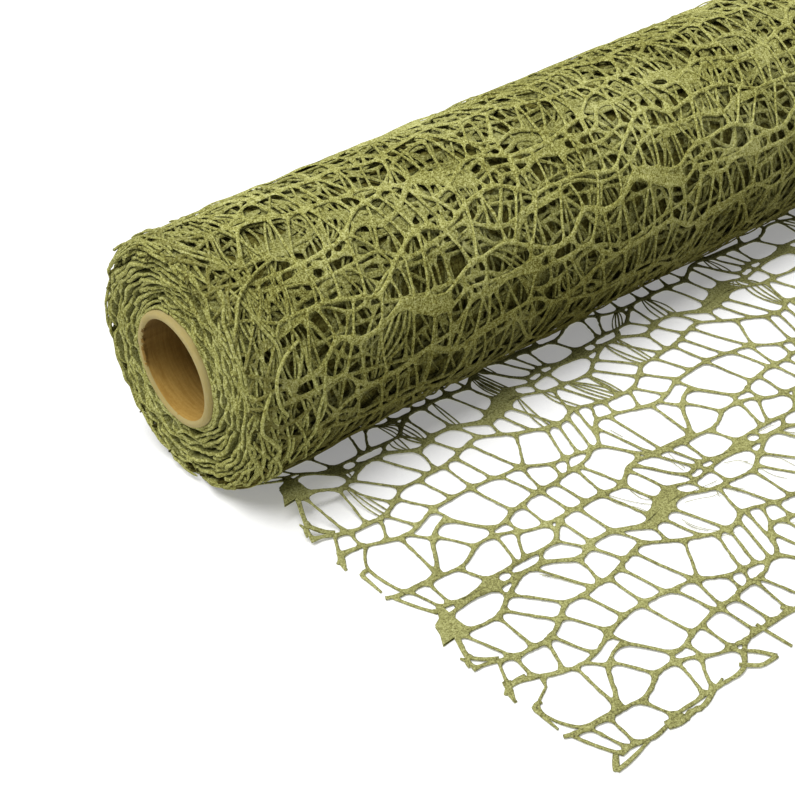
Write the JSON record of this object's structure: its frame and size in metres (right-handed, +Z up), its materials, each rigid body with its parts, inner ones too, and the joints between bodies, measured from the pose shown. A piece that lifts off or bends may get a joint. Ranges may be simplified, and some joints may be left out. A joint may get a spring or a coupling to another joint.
{
  "type": "roll of openwork polycotton netting on a cardboard core",
  "caption": "Soft openwork netting wound on a plain cardboard tube, its loose end laid out flat in front of the roll, for wrapping, draping and craft.",
  "frame": {"origin": "on the ground under the middle of the roll", "axes": "+X along the core, -Y towards the cut end of the loose net, +Z up"},
  "size_m": [0.5, 0.274, 0.0955],
  "materials": {
    "core_tube": "matte kraft board",
    "net_roll": "fuzzy matte",
    "loose_net": "fuzzy matte"
  },
  "bodies": {
    "root": {"core_tube": "core_tube", "net_roll": "net_roll", "loose_net": "loose_net"}
  },
  "joints": []
}
